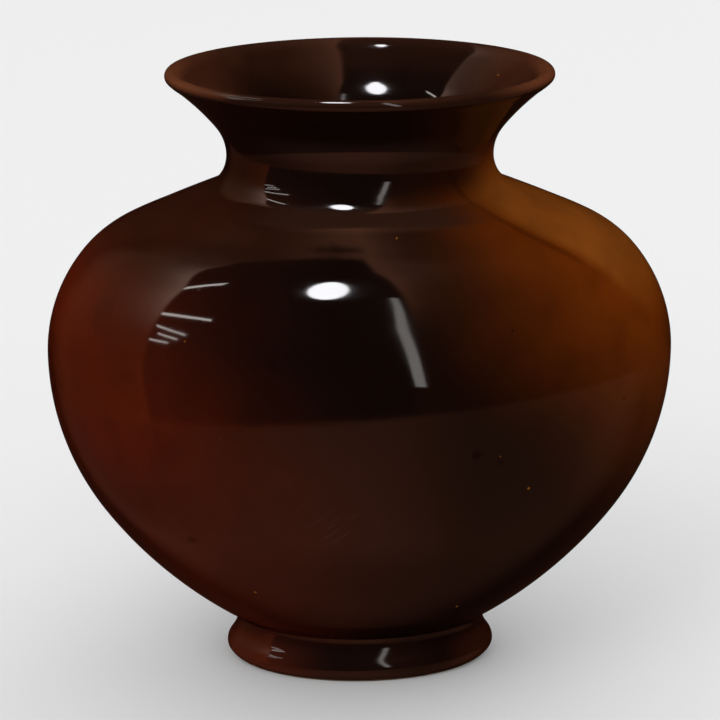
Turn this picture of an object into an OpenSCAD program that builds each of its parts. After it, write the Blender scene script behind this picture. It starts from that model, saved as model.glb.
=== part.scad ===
// Art pottery vase: a wide oval body on a small roll foot, with a drawn-in neck and a flared mouth.
// It is built in sections that are luted together, coated with a coloured ground and glazed.
// Each section is turned round and then pressed to an oval, so it is narrower from front to back.
// Diameters, wall and coats are those at the wide sides; at the front and back they are that much less.
// Units are millimetres, +Z is up, and the origin is the centre of the ring that the vase stands on.
// The wide sides face +X and -X, and the front faces -Y.
// A lean is an angle from straight up, in degrees: positive where the wall runs outward as it rises.
// A balance shares a curve between its two arcs: over 1 gives the upper arc the longer stretch.

/* [Plan] */
// Depth of the vase from front to back, as a share of its width
depth_share = 0.57; // [0.45:0.01:1]

/* [Foot] */
// Widest diameter of the foot's roll
foot_d = 66.4; // [58:0.2:78]
// Height of the foot, from the table to the crease under the bowl
foot_h = 10.5; // [8:0.1:14]
// Height of the roll's widest line
foot_roll_z = 3.3; // [2:0.1:4.5]
// How far the crease lies in from the roll's widest line
crease_in = 2.7; // [1.5:0.05:4]
// Lean of the foot's wall just under the crease
crease_lean = -5; // [-12:1:0]
// Radius of the hollow in the crease
crease_r = 1.5; // [0.8:0.1:3]
// Balance of the two arcs between the roll and the crease
foot_balance = 1.85; // [1:0.05:2.5]
// Height of the line where the outside glaze stops above the table
glaze_line_z = 0.6; // [0.4:0.1:1.2]
// How far that line lies in from the roll's widest line
glaze_line_in = 1.7; // [1.2:0.1:2.2]
// Lean of the foot's wall at that line
glaze_line_lean = 53; // [40:1:65]
// How far the dry standing face lies in from the glaze line
bare_edge = 1; // [0.6:0.1:1.6]
// Width of the foot ring, measured in from the crease
foot_ring_w = 8; // [7:0.1:11]
// How far the ring's seat for the bowl lies below the top of the foot
seat_drop = 1.5; // [0.8:0.1:2.2]
// Bevel on the inner edge of the standing face
bore_bevel = 0.6; // [0.3:0.1:1]

/* [Bowl and shoulder] */
// Widest diameter of the belly
belly_d = 150.4; // [134:0.2:168]
// Rise from the top of the foot to the belly's widest line
belly_rise = 70.4; // [58:0.2:82]
// Lean of the bowl where it leaves the crease
bowl_lean = 58; // [52:1:62]
// Balance of the bowl's two arcs
bowl_balance = 0.97; // [0.65:0.01:1.4]
// Rise from the belly to the line where the shoulder runs straight
shoulder_rise = 33.1; // [28:0.1:39]
// How far that line lies in from the belly
shoulder_in = 18.4; // [15:0.1:23]
// Lean of the shoulder at that line
shoulder_lean = -64.5; // [-70:0.5:-58]
// Balance of the shoulder's two arcs
shoulder_balance = 0.44; // [0.3:0.01:0.8]

/* [Neck and mouth] */
// Narrowest diameter of the neck
neck_d = 63; // [56:0.2:72]
// Rise from the straight line of the shoulder to the narrowest line of the neck
neck_rise = 17.1; // [14:0.1:20]
// Balance between the straight stretch of the shoulder and the hollow of the neck
neck_balance = 0.54; // [0.4:0.01:0.75]
// Diameter across the lip
mouth_d = 91.2; // [82:0.2:104]
// Rise from the narrowest line of the neck to the crest of the lip
flare_rise = 20.9; // [17:0.1:26]
// Lean of the flare where it meets the lip
flare_lean = 53; // [46:0.5:60]
// Balance of the flare's two arcs
flare_balance = 1.85; // [1:0.05:2.4]
// Thickness of the rolled lip
lip_d = 3; // [2.5:0.1:4.2]

/* [Wall and coats] */
// Finished thickness of the wall, coats included
wall = 7; // [6:0.1:9]
// Thickness of the clay floor
floor_t = 5.5; // [4:0.1:7]
// Diameter of the flat part of the floor inside
floor_d = 40; // [30:0.5:48]
// Thickness of the coloured ground on the outside
ground_t = 0.35; // [0.35:0.05:0.5]
// Thickness of the clear glaze
glaze_t = 0.6; // [0.4:0.05:0.7]
// Height of the line where the glaze under the base stops above the table
base_line_z = 1.5; // [1:0.1:3]

/* [Luted joints] */
// Thickness of the slip that fills a joint
slip_t = 0.5; // [0.4:0.05:0.7]
// Width of the tongue that centres the shoulder on the bowl
tongue_w = 2; // [1.4:0.1:2.6]
// Height of that tongue
tongue_h = 1.6; // [1:0.1:2.4]

/* [Hidden] */
clay = [0.80, 0.64, 0.45];
slip = [0.62, 0.44, 0.29];
// Largest distance between an arc and the short straight lines that follow it
fine = 0.03;
$fn = 144;

coat = ground_t + glaze_t;
foot_r = foot_d / 2;
belly_r = belly_d / 2;
belly_z = foot_h + belly_rise;
break_z = belly_z + shoulder_rise;
neck_z = break_z + neck_rise;
height = neck_z + flare_rise;

// A profile is a list of stations [radius, height, lean], taken from the table upwards.
function dir(lean) = [sin(lean), cos(lean)];
function spot(s) = [s[0], s[1]];
function last(list) = list[len(list) - 1];
function back(list) = [for (i = [len(list) - 1:-1:0]) list[i]];
function from(list, first) = [for (i = [first:1:len(list) - 1]) list[i]];
function ease(t) = t * t * (3 - 2 * t);

// Stations along the one arc that leaves p at a lean and ends at q, without p itself.
function arc(p, lean, q) =
    let (
        chord = q - p,
        turn = 2 * (atan2(chord[0], chord[1]) - lean),
        bend = abs(turn) < 0.01 ? 0 : norm(chord) / (2 * sin(turn / 2)),
        steps = bend == 0 ? 1 : ceil(abs(turn) / (2 * acos(1 - fine / abs(bend))))
    )
    [for (i = [1:steps])
        let (
            end = lean + turn * i / steps,
            at = i == steps ? q : p + bend * [cos(lean) - cos(end), sin(end) - sin(lean)]
        )
        [at[0], at[1], end]
    ];

// Where two tangent arcs from p at lean a to q at lean b meet, with the lean there.
function knee(p, a, q, b, balance) =
    let (
        u = dir(a),
        v = dir(b),
        w = q - p,
        reach = w * u + balance * (w * v),
        spread = 2 * balance * (1 - u * v),
        near = spread < 0.000001
            ? w * w / (2 * reach)
            : (sqrt(reach * reach + spread * (w * w)) - reach) / spread,
        start = p + near * u,
        run = q - balance * near * v - start,
        at = start + run / (1 + balance)
    )
    [at[0], at[1], atan2(run[0], run[1])];

// Stations along both of those arcs, without p itself.
function blend(p, a, q, b, balance) =
    let (k = knee(p, a, q, b, balance))
    concat(arc(p, a, spot(k)), arc(spot(k), k[2], q));

// A point that lies a depth inside the wall at a station, and the same for a whole run.
function inset(s, depth) = [s[0] - depth * cos(s[2]), s[1] + depth * sin(s[2])];
function inset_run(run, depth) = [for (s = run) inset(s, depth)];

// Profile of the foot, from the glaze line over the roll to the crease.
glaze_line = [foot_r - glaze_line_in, glaze_line_z];
roll = [foot_r, foot_roll_z];
foot_top = [foot_r - crease_in, foot_h];
foot_run = concat(
    [[glaze_line[0], glaze_line[1], glaze_line_lean]],
    blend(glaze_line, glaze_line_lean, roll, 0, 1),
    blend(roll, 0, foot_top, crease_lean, foot_balance)
);

// Profile of the bowl, which leaves the crease's hollow and ends at the belly.
bowl_foot = foot_top + crease_r * [cos(crease_lean) - cos(bowl_lean), sin(bowl_lean) - sin(crease_lean)];
crease_arc = arc(foot_top, crease_lean, bowl_foot);
crease_run = [for (i = [0:1:len(crease_arc) - 2]) crease_arc[i]];
belly = [belly_r, belly_z];
bowl_run = concat(
    [[bowl_foot[0], bowl_foot[1], bowl_lean]],
    blend(bowl_foot, bowl_lean, belly, 0, bowl_balance)
);

// Profile of the shoulder, from the belly's joint to where the hollow of the neck starts.
shoulder_foot = belly + [0, slip_t];
shoulder_break = [belly_r - shoulder_in, break_z];
neck = [neck_d / 2, neck_z];
neck_root = knee(shoulder_break, shoulder_lean, neck, 0, neck_balance);
shoulder_run = concat(
    [[shoulder_foot[0], shoulder_foot[1], 0]],
    blend(shoulder_foot, 0, shoulder_break, shoulder_lean, shoulder_balance),
    arc(shoulder_break, shoulder_lean, spot(neck_root))
);

// Profile of the collar, from the neck's joint to the lip, and the roll of the lip to each side.
collar_foot = spot(neck_root) + slip_t * dir(neck_root[2]);
crest = [(mouth_d - lip_d) / 2, height];
lip_low = crest + lip_d / 2 * [cos(flare_lean), -1 - sin(flare_lean)];
lip_high = crest + lip_d / 2 * [-cos(flare_lean), sin(flare_lean) - 1];
collar_run = concat(
    [[collar_foot[0], collar_foot[1], neck_root[2]]],
    blend(collar_foot, neck_root[2], neck, 0, 1),
    blend(neck, 0, lip_low, flare_lean, flare_balance)
);
lip_outer = arc(lip_low, flare_lean, crest);
lip_inner = arc(crest, -90, lip_high);
outer_run = concat(foot_run, crease_run, bowl_run, shoulder_run, collar_run, lip_outer);

// Inside of the wall: it follows the outside, and thins from the neck to the lip.
function wall_at(s) =
    s[1] <= neck_z ? wall : wall + (lip_d - wall) * ease((s[1] - neck_z) / (lip_low[1] - neck_z));
function inside(run, cover) = [for (s = run) inset(s, wall_at(s) - cover)];

// Floor of the bowl, with the curve that carries it into the wall.
recess_z = foot_h - seat_drop;
floor_z = recess_z + floor_t;
clay_inside = inside(bowl_run, coat);
clear_of_floor = [for (i = [0:len(bowl_run) - 1]) if (clay_inside[i][1] > floor_z + wall) i];
wall_run = from(bowl_run, clear_of_floor[0]);

// Inside of the bowl from its centre up to the belly, a cover short of the finished surface.
function bowl_inside(cover) =
    let (
        side = inside(wall_run, cover),
        flat_edge = [floor_d / 2, floor_z + coat - cover],
        curve = blend(flat_edge, 90, side[0], wall_run[0][2], 1)
    )
    concat([[0, flat_edge[1]], flat_edge], [for (s = curve) spot(s)], from(side, 1));

// Joint under the bowl: a flat seat, a sloping one that follows the bowl, and the ring's bore.
bowl_low = inset(bowl_run[0], coat);
under_r = bowl_low[0] - (bowl_low[1] - recess_z) * tan(bowl_lean);
bore_r = foot_top[0] - foot_ring_w;
stand_r = glaze_line[0] - bare_edge;
seat_z = recess_z - slip_t;
seat = [under_r + slip_t * (1 - sin(bowl_lean)) / cos(bowl_lean), seat_z];

// Joint at the belly: the tongue's outline from outside to inside, grown by a clearance.
function tongue(grow) =
    let (
        mid = belly_r - wall / 2,
        half = tongue_w / 2 + grow,
        low = belly_z + grow,
        high = low + tongue_h
    )
    [[mid + half, low], [mid + half, high], [mid - half, high], [mid - half, low]];

// Joint at the neck: the two corners of a step through the wall at a station, from outside to inside.
ledge_z = (inset(neck_root, coat)[1] + inset(neck_root, wall - coat)[1]) / 2;
function step(s, z) = [[inset(s, coat)[0], z], [inset(s, wall - coat)[0], z]];
shoulder_step = step(last(shoulder_run), ledge_z);
collar_step = step(collar_run[0], ledge_z + slip_t);

// Section of the slip between two stations, with the outline of each side's joint.
function slip_ring(low, low_joint, high, high_joint) = concat(
    [inset(low, coat)],
    low_joint,
    [inset(low, wall - coat), inset(high, wall - coat)],
    back(high_joint),
    [inset(high, coat)]
);

// A section turned round and pressed to the oval, in a front half and a back half.
module pressed(points) {
    for (half = [0, 180])
        scale([1, depth_share, 1])
        rotate(half)
        rotate_extrude(angle = 180) polygon(points);
}

// Ring that the vase stands on, dry underneath and dished on top to seat the bowl.
module foot_ring() {
    color(clay)
    pressed(concat(
        [[stand_r, 0]],
        inset_run(foot_run, coat),
        [seat, [bore_r, seat_z], [bore_r, bore_bevel], [bore_r + bore_bevel, 0]]
    ));
}

// Slip between ring and bowl, worked out into the crease.
module foot_joint_slip() {
    color(slip)
    pressed(concat(
        [[bore_r, seat_z], seat],
        inset_run(concat([last(foot_run)], crease_run), coat),
        [bowl_low, [under_r, recess_z], [bore_r, recess_z]]
    ));
}

// Bowl from the floor to the belly, with a tongue round its rim.
module lower_body() {
    color(clay)
    pressed(concat(
        [[0, recess_z], [under_r, recess_z]],
        inset_run(bowl_run, coat),
        tongue(0),
        back(bowl_inside(coat))
    ));
}

// Slip round the tongue, as wide as the wall.
module belly_joint_slip() {
    color(slip)
    pressed(slip_ring(last(bowl_run), tongue(0), shoulder_run[0], tongue(slip_t)));
}

// Shoulder from the belly to the neck, grooved below and with a ledge round its mouth.
module upper_body() {
    color(clay)
    pressed(concat(
        inset_run(shoulder_run, coat),
        shoulder_step,
        back(inside(shoulder_run, coat)),
        back(tongue(slip_t))
    ));
}

// Slip on the ledge and up both of its steps.
module neck_joint_slip() {
    color(slip)
    pressed(slip_ring(last(shoulder_run), shoulder_step, collar_run[0], collar_step));
}

// Collar that drops onto the ledge: the hollow of the neck, the flare and the rolled lip.
module neck_collar() {
    color(clay)
    pressed(concat(
        inset_run(concat(collar_run, lip_outer, lip_inner), coat),
        from(back(inside(collar_run, coat)), 1),
        back(collar_step)
    ));
}

// Coloured ground over the outside, from the foot to the crest of the lip.
module ground_coat() {
    color([0.30, 0.13, 0.05])
    pressed(concat(
        inset_run(outer_run, glaze_t),
        back(inset_run(outer_run, coat))
    ));
}

// Clear brown glaze over the ground.
module outer_glaze() {
    color([0.23, 0.08, 0.03])
    pressed(concat(
        inset_run(outer_run, 0),
        back(inset_run(outer_run, glaze_t))
    ));
}

// Glaze that lines the inside, from the crest of the lip to the floor.
module inner_glaze() {
    upper_run = concat(shoulder_run, collar_run);
    finished = concat(bowl_inside(0), inside(upper_run, 0));
    on_clay = concat(bowl_inside(coat), inside(upper_run, coat));
    lip_run = concat([[crest[0], crest[1], -90]], lip_inner);
    color([0.17, 0.07, 0.03])
    pressed(concat(
        finished,
        from(back(inset_run(lip_run, 0)), 1),
        inset_run(lip_run, coat),
        from(back(on_clay), 1)
    ));
}

// Glaze inside the foot ring, on the underside of the floor and down the bore.
module base_glaze() {
    color([0.27, 0.11, 0.05])
    pressed([
        [0, recess_z - glaze_t],
        [bore_r - glaze_t, recess_z - glaze_t],
        [bore_r - glaze_t, base_line_z],
        [bore_r, base_line_z],
        [bore_r, recess_z],
        [0, recess_z]
    ]);
}

foot_ring();
foot_joint_slip();
lower_body();
belly_joint_slip();
upper_body();
neck_joint_slip();
neck_collar();
ground_coat();
outer_glaze();
inner_glaze();
base_glaze();
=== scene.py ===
# %% [markdown]
# # A glazed art pottery vase
# The real vase was turned, pressed to an oval and set on a small roll foot.
# It was then sprayed with a brown ground and glazed.
# Its construction is packed as CAD solids: clay sections, slip between them, the ground and three glazes.
# This lesson loads those solids as a fixed frame and gives the pot the surfaces that the eye meets.
# Everything is in metres in the frame of the CAD model: +Z is up, X is the wide way and -Y is the front.

# %% Load the frame
import math
import bmesh
import bpy
import numpy as np
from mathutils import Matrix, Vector, noise


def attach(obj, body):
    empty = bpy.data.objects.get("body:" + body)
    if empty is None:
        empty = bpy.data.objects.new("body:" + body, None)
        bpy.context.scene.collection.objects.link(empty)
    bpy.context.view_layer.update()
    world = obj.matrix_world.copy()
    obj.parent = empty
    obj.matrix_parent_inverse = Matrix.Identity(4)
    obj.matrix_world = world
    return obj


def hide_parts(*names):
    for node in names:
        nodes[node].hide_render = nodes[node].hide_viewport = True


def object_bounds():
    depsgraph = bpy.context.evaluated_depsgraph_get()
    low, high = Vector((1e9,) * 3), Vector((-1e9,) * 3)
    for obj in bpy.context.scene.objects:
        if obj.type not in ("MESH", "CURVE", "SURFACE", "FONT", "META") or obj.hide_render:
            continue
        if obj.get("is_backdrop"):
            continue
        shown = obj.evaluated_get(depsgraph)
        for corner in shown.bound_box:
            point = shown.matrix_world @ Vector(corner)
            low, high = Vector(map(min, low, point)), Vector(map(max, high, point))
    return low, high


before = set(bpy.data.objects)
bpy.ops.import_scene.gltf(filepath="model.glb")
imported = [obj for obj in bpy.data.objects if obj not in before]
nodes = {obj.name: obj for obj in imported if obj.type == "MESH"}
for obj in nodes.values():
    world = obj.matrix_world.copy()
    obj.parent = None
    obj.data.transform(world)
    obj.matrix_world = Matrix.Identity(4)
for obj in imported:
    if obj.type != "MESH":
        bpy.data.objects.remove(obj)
cad_low, cad_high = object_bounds()
MM = 0.001
print(f"CAD nodes: {', '.join(sorted(nodes))}")
vase_wide, vase_deep, vase_tall = cad_high - cad_low
DEPTH_SHARE = vase_deep / vase_wide
print(f"{vase_tall / MM:.1f} mm tall, {vase_wide / MM:.1f} mm wide and {vase_deep / MM:.1f} mm deep")

# %% [markdown]
# ## Camera
# The photograph looks down on the pot, so that the mouth shows as a narrow ellipse.
# A camera could be placed by eye, but both sides of the outline together fix its pitch, distance and turn.
# The pot stands turned by a hair, which tips the line of its lip.
# The camera is turned round it by as much.

# %% Camera at the photograph's angle
CAMERA_AWAY, CAMERA_HEIGHT = 0.6891, 0.3612
CAMERA_TURN = math.radians(1.76)
CAMERA_PITCH = math.radians(22.31)
FOCAL_PX = 3078.4
FRAME_PX = 720
SENSOR_MM = 36.0

scene = bpy.context.scene
scene.view_settings.view_transform = "Standard"
camera_data = bpy.data.cameras.new("vase_camera")
camera_data.sensor_width = SENSOR_MM
camera_data.lens = FOCAL_PX / FRAME_PX * SENSOR_MM
camera = bpy.data.objects.new("vase_camera", camera_data)
camera.location = (
    -CAMERA_AWAY * math.sin(CAMERA_TURN),
    -CAMERA_AWAY * math.cos(CAMERA_TURN),
    CAMERA_HEIGHT,
)
camera.rotation_euler = (math.pi / 2 - CAMERA_PITCH, 0.0, -CAMERA_TURN)
scene.collection.objects.link(camera)
scene.camera = camera
print(f"lens {camera_data.lens:.1f} mm, pitched down {math.degrees(CAMERA_PITCH):.2f} degrees")

# %% [markdown]
# ## Building node trees
# A glaze needs many small shader nodes, and each one is made, set and linked in the same way.
# This helper does that in one call: a value goes onto a socket, and a socket is linked to a socket.
# The other helpers name the few steps that every finish here is built from.

# %% Helpers for shader nodes
def add(tree, kind, inputs, **settings):
    """Makes one shader node, sets its options, and fills its inputs with values or links."""
    made = tree.nodes.new("ShaderNode" + kind)
    for name, value in settings.items():
        setattr(made, name, value)
    for key, value in inputs.items():
        if isinstance(value, bpy.types.NodeSocket):
            tree.links.new(value, made.inputs[key])
        else:
            made.inputs[key].default_value = value
    return made


def calc(tree, operation, first, second=0.0):
    """One step of arithmetic."""
    return add(tree, "Math", {0: first, 1: second}, operation=operation).outputs[0]


def fade(tree, value, start, end, low=0.0, high=1.0):
    """A smooth change from low to high as the value goes from start to end."""
    limits = {"Value": value, "From Min": start, "From Max": end, "To Min": low, "To Max": high}
    return add(tree, "MapRange", limits, interpolation_type="SMOOTHSTEP").outputs[0]


def blend(tree, share, first, second):
    """A second colour laid over a first by a share from 0 to 1."""
    # The Mix node has its colours on inputs 6 and 7 and on output 2.
    return add(tree, "Mix", {0: share, 6: first, 7: second}, data_type="RGBA").outputs[2]


def overlap(tree, *shares):
    """The share that is left where all the given shares overlap."""
    total = shares[0]
    for share in shares[1:]:
        total = calc(tree, "MULTIPLY", total, share)
    return total


def away_from(tree, value, middle):
    """How far a value is from a middle one, on either side."""
    return calc(tree, "ABSOLUTE", calc(tree, "SUBTRACT", value, middle))


print("the steps of a node tree are ready")

# %% Noise, colours and new finishes
NOISE_MIDDLE = 0.5


def cloud(tree, place, size, detail=3.0):
    """Soft noise from 0 to 1 whose patches are about one size across, in metres."""
    return add(tree, "TexNoise", {"Vector": place, "Scale": 1.0 / size, "Detail": detail}).outputs[0]


def srgb(red, green, blue):
    """A screen colour, from 0 to 255, as the linear light that Blender works in."""
    # The numbers are those of the sRGB standard.
    shares = [c / 255 for c in (red, green, blue)]
    linear = [s / 12.92 if s <= 0.04045 else ((s + 0.055) / 1.055) ** 2.4 for s in shares]
    return (*linear, 1.0)


def new_finish(name):
    """A material with its tree, its shader and the place of each point in the frame."""
    finish = bpy.data.materials.new(name)
    finish.use_nodes = True
    tree = finish.node_tree
    place = add(tree, "TexCoord", {}).outputs["Object"]
    return finish, tree, tree.nodes["Principled BSDF"], place


print(f"a middle grey is {srgb(128, 128, 128)[0]:.3f} in linear light")

# %% [markdown]
# ## Floor and light
# The pot stands on a plain pale floor under soft studio light.
# The light is at a level where a colour looks as it is written.
# A bright sky alone would do, but two large lamps give the pot a light side and the floor a soft shadow.
# The lamps are kept out of the reflections, because the pot gets a reflection of its own further down.

# %% Pale floor
FLOOR_REACH = 4.0
FLOOR_SIDES = 96
FLOOR_COLOUR = (0.78, 0.78, 0.78, 1.0)

floor_shape = bmesh.new()
bmesh.ops.create_circle(floor_shape, cap_ends=True, segments=FLOOR_SIDES, radius=FLOOR_REACH)
floor_mesh = bpy.data.meshes.new("floor")
floor_shape.to_mesh(floor_mesh)
floor_shape.free()
floor = bpy.data.objects.new("floor", floor_mesh)
scene.collection.objects.link(floor)
paper = bpy.data.materials.new("pale_paper")
paper.use_nodes = True
paper_shader = paper.node_tree.nodes["Principled BSDF"]
paper_shader.inputs["Base Color"].default_value = FLOOR_COLOUR
paper_shader.inputs["Roughness"].default_value = 1.0
paper_shader.inputs["Specular IOR Level"].default_value = 0.0
floor_mesh.materials.append(paper)
floor.visible_glossy = False
floor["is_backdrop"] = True
print(f"floor {2 * FLOOR_REACH:.0f} m across")

# %% Sky and two soft lamps
SKY_COLOUR = (1.0, 1.0, 1.0, 1.0)
SKY_STRENGTH = 0.95
LAMPS = {
    "key_lamp": {"place": (-0.9, -1.0, 1.5), "size": 1.2, "watts": 7.0},
    "fill_lamp": {"place": (1.1, 0.6, 1.4), "size": 1.4, "watts": 4.0},
}
LAMP_AIM = Vector((0.0, 0.0, 0.07))

world = bpy.data.worlds.new("soft_sky")
world.use_nodes = True
sky = world.node_tree.nodes["Background"]
sky.inputs["Color"].default_value = SKY_COLOUR
sky.inputs["Strength"].default_value = SKY_STRENGTH
scene.world = world
for name, spec in LAMPS.items():
    lamp_data = bpy.data.lights.new(name, "AREA")
    lamp_data.size = spec["size"]
    lamp_data.energy = spec["watts"]
    lamp = bpy.data.objects.new(name, lamp_data)
    lamp.location = spec["place"]
    lamp.rotation_euler = (LAMP_AIM - lamp.location).to_track_quat("-Z", "Y").to_euler()
    lamp.visible_glossy = False
    scene.collection.objects.link(lamp)
print(f"sky at {SKY_STRENGTH} and {len(LAMPS)} lamps")

# %% [markdown]
# ## Reading a section from the frame
# Every piece of the pot was turned before it was pressed.
# So one cut from the axis outwards says all about its shape.
# The profile could be typed in again, but then it could drift away from the solids.
# It is read from the CAD meshes instead: their points on the half-plane x > 0, y = 0 are walked in order.

# %% Walk round a CAD section
NEAR = 1e-6


def section_of(node):
    """Wide-side radius and height of each corner of a node's section, walked from its lowest one."""
    cut = bmesh.new()
    cut.from_mesh(nodes[node].data)
    bmesh.ops.remove_doubles(cut, verts=cut.verts[:], dist=NEAR)
    on_plane = {v for v in cut.verts if abs(v.co.y) < NEAR and v.co.x > 0}
    links = {v: [e.other_vert(v) for e in v.link_edges if e.other_vert(v) in on_plane] for v in on_plane}
    ends = [v for v in on_plane if len(links[v]) == 1]
    walk = [min(ends or on_plane, key=lambda v: v.co.z)]
    while True:
        onward = [v for v in links[walk[-1]] if v not in walk]
        if not onward:
            break
        walk.append(max(onward, key=lambda v: v.co.x))
    corners = np.array([(v.co.x, v.co.z) for v in walk])
    cut.free()
    return corners


outer_section = section_of("outer_glaze")
crest = int(outer_section[:, 1].argmax())
belly = outer_section[outer_section[:, 0].argmax()]
print(f"outer glaze: {len(outer_section)} corners, belly at a height of {belly[1] / MM:.1f} mm")

# %% [markdown]
# ## A smooth run and the potter's hand
# A CAD arc is a chain of short straight lines. A gloss glaze would show each as a kink in a reflection.
# A smooth curve through the same corners, cut finer, keeps the shape and gives even reflections.
# A real pot is also a little uneven: the fingers leave slow swells and the glaze lies in quick ripples.
# They are made in the mesh, so that they are there in every light, and they stay well under a millimetre.

# %% Smooth runs
LEAST_PIECES = 2
OUTER_STEP = 0.9 * MM


def smooth_run(corners, longest):
    """A finer run on a smooth curve through the corners, with the direction of travel at each point."""
    lengths = np.linalg.norm(np.diff(corners, axis=0), axis=1)
    along = np.concatenate([[0.0], np.cumsum(lengths)])
    slopes = np.gradient(corners, along, axis=0, edge_order=2)
    places, travels = [], []
    for i, length in enumerate(lengths):
        pieces = max(LEAST_PIECES, math.ceil(length / longest))
        for t in np.arange(pieces) / pieces:
            start, end = corners[i], corners[i + 1]
            go, come = slopes[i] * length, slopes[i + 1] * length
            places.append(
                (2 * t**3 - 3 * t**2 + 1) * start + (t**3 - 2 * t**2 + t) * go
                + (3 * t**2 - 2 * t**3) * end + (t**3 - t**2) * come
            )
            travels.append(
                (6 * t**2 - 6 * t) * (start - end)
                + (3 * t**2 - 4 * t + 1) * go + (3 * t**2 - 2 * t) * come
            )
    places.append(corners[-1])
    travels.append(slopes[-1])
    travels = np.array(travels)
    return np.array(places), travels / np.linalg.norm(travels, axis=1)[:, None]


outer_run, outer_travel = smooth_run(outer_section[: crest + 1], OUTER_STEP)
run_length = np.linalg.norm(np.diff(outer_run, axis=0), axis=1).sum()
print(f"outer run: {len(outer_run)} points, {run_length / MM:.0f} mm long")

# %% The potter's hand
SLOW_WAVE, SLOW_DEPTH = 42 * MM, 0.045 * MM
QUICK_WAVE, QUICK_DEPTH = 13 * MM, 0.014 * MM


def by_hand(place, outward):
    """Moves a point of the finished surface as the potter's hand and the running glaze did."""
    ripple = SLOW_DEPTH * noise.noise(place / SLOW_WAVE) + QUICK_DEPTH * noise.noise(place / QUICK_WAVE)
    return place + outward * ripple


trial = by_hand(Vector((belly[0], 0.0, belly[1])), Vector((1.0, 0.0, 0.0)))
print(f"the belly's right side is moved {(trial.x - belly[0]) / MM:.3f} mm")

# %% [markdown]
# ## Turning a section into a solid
# On the wheel the pot turns and the hand stands still.
# Here the section is carried round the axis in even steps.
# Each ring is pressed to the oval, and its outward direction with it, as the potter pressed the soft clay.
# The Screw modifier could turn it too, but a mesh built ring by ring lets each point move by hand first.
# A finished point moves. A hidden one stays on the CAD surface, so that no coat cuts another.

# %% Turn a closed section
SHARP_ANGLE = math.radians(38)


def turned_piece(name, rings, around):
    """A closed solid from rings: radius, height, outward radius and height, and moved by hand or not."""
    mesh = bpy.data.meshes.new(name)
    points, first = [], []
    turns = [2 * math.pi * i / around for i in range(around)]
    for radius, height, out_r, out_z, finished in rings:
        first.append(len(points))
        for turn in turns if radius > NEAR else turns[:1]:
            across, along = math.cos(turn), math.sin(turn)
            place = Vector((across * radius, along * radius * DEPTH_SHARE, height))
            outward = Vector((across * out_r, along * out_r / DEPTH_SHARE, out_z)).normalized()
            points.append(by_hand(place, outward) if finished else place)
    faces = []
    for k, here in enumerate(first):
        there = first[(k + 1) % len(first)]
        low_point, high_point = rings[k][0] <= NEAR, rings[(k + 1) % len(rings)][0] <= NEAR
        if low_point and high_point:
            continue
        for i in range(around):
            j = (i + 1) % around
            low = [here] if low_point else [here + i, here + j]
            high = [there] if high_point else [there + j, there + i]
            faces.append(low + high)
    mesh.from_pydata(points, [], faces)
    shape = bmesh.new()
    shape.from_mesh(mesh)
    bmesh.ops.recalc_face_normals(shape, faces=shape.faces[:])
    shape.to_mesh(mesh)
    shape.free()
    mesh.shade_smooth()
    mesh.set_sharp_from_angle(angle=SHARP_ANGLE)
    piece = bpy.data.objects.new(name, mesh)
    scene.collection.objects.link(piece)
    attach(piece, "root")
    print(f"{name}: {len(points)} points, {len(faces)} faces")
    return piece


def finished_rings(run, travel, side):
    """Rings of a finished surface, with its outside to the right of travel (1) or to the left (-1)."""
    return [(r, z, side * tz, -side * tr, True) for (r, z), (tr, tz) in zip(run, travel)]


def hidden_rings(corners):
    """Rings of the surface that lies on the clay."""
    return [(r, z, 0.0, 0.0, False) for r, z in corners]


print(f"edges over {math.degrees(SHARP_ANGLE):.0f} degrees stay sharp")

# %% [markdown]
# ## Outer glaze
# The clear glaze covers the outside from just above the table to the crest of the lip.
# It is what the light meets, so this coat carries the look of the ground beneath it as well.
# The CAD coat could be kept, but its facets would show in the gloss.
# So the finished side is the fine run, and the hidden side is the CAD section, which closes it to a solid.

# %% Turn the outer glaze
AROUND = 272

outer_glaze = turned_piece(
    "outer_glaze_coat",
    finished_rings(outer_run, outer_travel, 1) + hidden_rings(outer_section[crest + 1 :]),
    AROUND,
)
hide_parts("outer_glaze")

# %% [markdown]
# ## Inner glaze
# The inside is glazed too, from the crest of the lip down the neck and over the floor of the bowl.
# A finger drawn outwards across the turning floor leaves a low spiral, and the glaze softens it.
# The spiral could be a bump in the finish, but laid into the floor's rings it is in the mesh as well.

# %% Turn the inner glaze
INNER_STEP = 1.6 * MM
FLOOR_STEP = 1.0 * MM

inner_section = section_of("inner_glaze")[::-1]
inner_crest = int(inner_section[:, 1].argmax())
floor_rim = inner_section[0]
inner_run, inner_travel = smooth_run(inner_section[: inner_crest + 1], INNER_STEP)
floor_steps = np.arange(0.0, floor_rim[0], FLOOR_STEP)
floor_rings = [(r, floor_rim[1], 0.0, 1.0, True) for r in floor_steps]
inner_glaze = turned_piece(
    "inner_glaze_coat",
    floor_rings
    + finished_rings(inner_run, inner_travel, -1)
    + hidden_rings(inner_section[inner_crest + 1 :])
    + hidden_rings([(0.0, inner_section[-1][1])]),
    AROUND,
)
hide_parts("inner_glaze")

# %% Draw the finger's spiral into the floor
SPIRAL_PITCH = 6.5 * MM
SPIRAL_DEPTH = 0.22 * MM
FLOOR_SLACK = 0.3 * MM

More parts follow.
